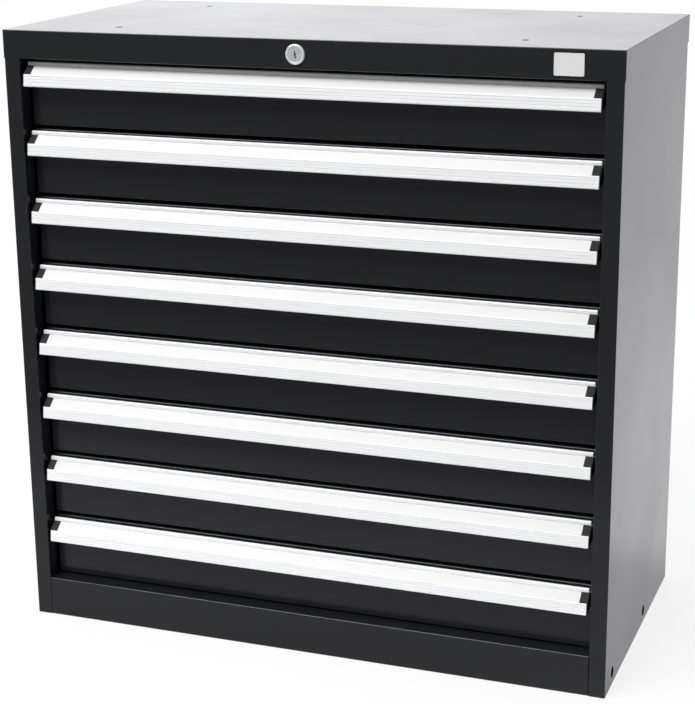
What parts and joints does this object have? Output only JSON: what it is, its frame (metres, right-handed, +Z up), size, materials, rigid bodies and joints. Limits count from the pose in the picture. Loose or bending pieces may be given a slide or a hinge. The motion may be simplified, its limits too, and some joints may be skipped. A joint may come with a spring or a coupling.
{
  "type": "tool cabinet",
  "caption": "Free-standing steel tool cabinet with a stack of full-width drawers on telescopic runners and one key lock that locks them all.",
  "frame": {"origin": "on the floor, under the middle of the cabinet's box, handles included", "axes": "+Z up, +Y to the back, +X to the right of a person facing the drawers; drawers open towards -Y"},
  "size_m": [0.72, 0.3664, 0.722],
  "materials": {
    "black_coat": "semi-gloss black powder coat",
    "drawer_coat": "semi-gloss black powder coat",
    "handle_aluminium": "satin anodised extrusion",
    "label_white": "plain white label strip",
    "plug_plastic": "moulded black plastic",
    "zinc_steel": "zinc-plated sheet steel",
    "lock_chrome": "polished chrome"
  },
  "bodies": {
    "carcass": {"top_cap": "black_coat", "side_panel_left": "black_coat", "side_panel_right": "black_coat", "back_panel": "black_coat", "base_pan": "black_coat", "plinth_rail": "black_coat", "slide_posts": "black_coat", "outer_runners": "zinc_steel", "lock_barrel": "lock_chrome"},
    "lock_cylinder": {"lock_plug": "lock_chrome", "lock_rod": "zinc_steel"},
    "locking_bar": {"lock_bar": "zinc_steel"},
    "drawer_1": {"drawer_1_box": "drawer_coat", "drawer_1_handle": "handle_aluminium", "drawer_1_label": "label_white", "drawer_1_end_plugs": "plug_plastic", "drawer_1_inner_runners": "zinc_steel"},
    "runner_1": {"drawer_1_middle_runners": "zinc_steel"},
    "drawer_2": {"drawer_2_box": "drawer_coat", "drawer_2_handle": "handle_aluminium", "drawer_2_label": "label_white", "drawer_2_end_plugs": "plug_plastic", "drawer_2_inner_runners": "zinc_steel"},
    "runner_2": {"drawer_2_middle_runners": "zinc_steel"},
    "drawer_3": {"drawer_3_box": "drawer_coat", "drawer_3_handle": "handle_aluminium", "drawer_3_label": "label_white", "drawer_3_end_plugs": "plug_plastic", "drawer_3_inner_runners": "zinc_steel"},
    "runner_3": {"drawer_3_middle_runners": "zinc_steel"},
    "drawer_4": {"drawer_4_box": "drawer_coat", "drawer_4_handle": "handle_aluminium", "drawer_4_label": "label_white", "drawer_4_end_plugs": "plug_plastic", "drawer_4_inner_runners": "zinc_steel"},
    "runner_4": {"drawer_4_middle_runners": "zinc_steel"},
    "drawer_5": {"drawer_5_box": "drawer_coat", "drawer_5_handle": "handle_aluminium", "drawer_5_label": "label_white", "drawer_5_end_plugs": "plug_plastic", "drawer_5_inner_runners": "zinc_steel"},
    "runner_5": {"drawer_5_middle_runners": "zinc_steel"},
    "drawer_6": {"drawer_6_box": "drawer_coat", "drawer_6_handle": "handle_aluminium", "drawer_6_label": "label_white", "drawer_6_end_plugs": "plug_plastic", "drawer_6_inner_runners": "zinc_steel"},
    "runner_6": {"drawer_6_middle_runners": "zinc_steel"},
    "drawer_7": {"drawer_7_box": "drawer_coat", "drawer_7_handle": "handle_aluminium", "drawer_7_label": "label_white", "drawer_7_end_plugs": "plug_plastic", "drawer_7_inner_runners": "zinc_steel"},
    "runner_7": {"drawer_7_middle_runners": "zinc_steel"},
    "drawer_8": {"drawer_8_box": "drawer_coat", "drawer_8_handle": "handle_aluminium", "drawer_8_label": "label_white", "drawer_8_end_plugs": "plug_plastic", "drawer_8_inner_runners": "zinc_steel"},
    "runner_8": {"drawer_8_middle_runners": "zinc_steel"}
  },
  "joints": [
    {"name": "key_turn", "type": "hinge", "parent": "carcass", "child": "lock_cylinder", "pos_m": [0, -0.18075, 0.70575], "axis": [0, 1, 0], "range_deg": [0, 90]},
    {"name": "bar_lift", "type": "slide", "parent": "carcass", "child": "locking_bar", "axis": [0, 0, 1], "range_m": [0, 0.01273]},
    {"name": "drawer_1_slide", "type": "slide", "parent": "carcass", "child": "drawer_1", "axis": [0, -1, 0], "range_m": [0, 0.28]},
    {"name": "runner_1_slide", "type": "slide", "parent": "carcass", "child": "runner_1", "axis": [0, -1, 0], "range_m": [0, 0.1405]},
    {"name": "drawer_2_slide", "type": "slide", "parent": "carcass", "child": "drawer_2", "axis": [0, -1, 0], "range_m": [0, 0.28]},
    {"name": "runner_2_slide", "type": "slide", "parent": "carcass", "child": "runner_2", "axis": [0, -1, 0], "range_m": [0, 0.1405]},
    {"name": "drawer_3_slide", "type": "slide", "parent": "carcass", "child": "drawer_3", "axis": [0, -1, 0], "range_m": [0, 0.28]},
    {"name": "runner_3_slide", "type": "slide", "parent": "carcass", "child": "runner_3", "axis": [0, -1, 0], "range_m": [0, 0.1405]},
    {"name": "drawer_4_slide", "type": "slide", "parent": "carcass", "child": "drawer_4", "axis": [0, -1, 0], "range_m": [0, 0.28]},
    {"name": "runner_4_slide", "type": "slide", "parent": "carcass", "child": "runner_4", "axis": [0, -1, 0], "range_m": [0, 0.1405]},
    {"name": "drawer_5_slide", "type": "slide", "parent": "carcass", "child": "drawer_5", "axis": [0, -1, 0], "range_m": [0, 0.28]},
    {"name": "runner_5_slide", "type": "slide", "parent": "carcass", "child": "runner_5", "axis": [0, -1, 0], "range_m": [0, 0.1405]},
    {"name": "drawer_6_slide", "type": "slide", "parent": "carcass", "child": "drawer_6", "axis": [0, -1, 0], "range_m": [0, 0.28]},
    {"name": "runner_6_slide", "type": "slide", "parent": "carcass", "child": "runner_6", "axis": [0, -1, 0], "range_m": [0, 0.1405]},
    {"name": "drawer_7_slide", "type": "slide", "parent": "carcass", "child": "drawer_7", "axis": [0, -1, 0], "range_m": [0, 0.28]},
    {"name": "runner_7_slide", "type": "slide", "parent": "carcass", "child": "runner_7", "axis": [0, -1, 0], "range_m": [0, 0.1405]},
    {"name": "drawer_8_slide", "type": "slide", "parent": "carcass", "child": "drawer_8", "axis": [0, -1, 0], "range_m": [0, 0.28]},
    {"name": "runner_8_slide", "type": "slide", "parent": "carcass", "child": "runner_8", "axis": [0, -1, 0], "range_m": [0, 0.1405]}
  ],
  "couplings": [
    {"joint": "key_turn", "follows": "bar_lift", "rad_per_m": 123.41},
    {"joint": "runner_1_slide", "follows": "drawer_1_slide", "ratio": 0.5},
    {"joint": "runner_2_slide", "follows": "drawer_2_slide", "ratio": 0.5},
    {"joint": "runner_3_slide", "follows": "drawer_3_slide", "ratio": 0.5},
    {"joint": "runner_4_slide", "follows": "drawer_4_slide", "ratio": 0.5},
    {"joint": "runner_5_slide", "follows": "drawer_5_slide", "ratio": 0.5},
    {"joint": "runner_6_slide", "follows": "drawer_6_slide", "ratio": 0.5},
    {"joint": "runner_7_slide", "follows": "drawer_7_slide", "ratio": 0.5},
    {"joint": "runner_8_slide", "follows": "drawer_8_slide", "ratio": 0.5}
  ]
}
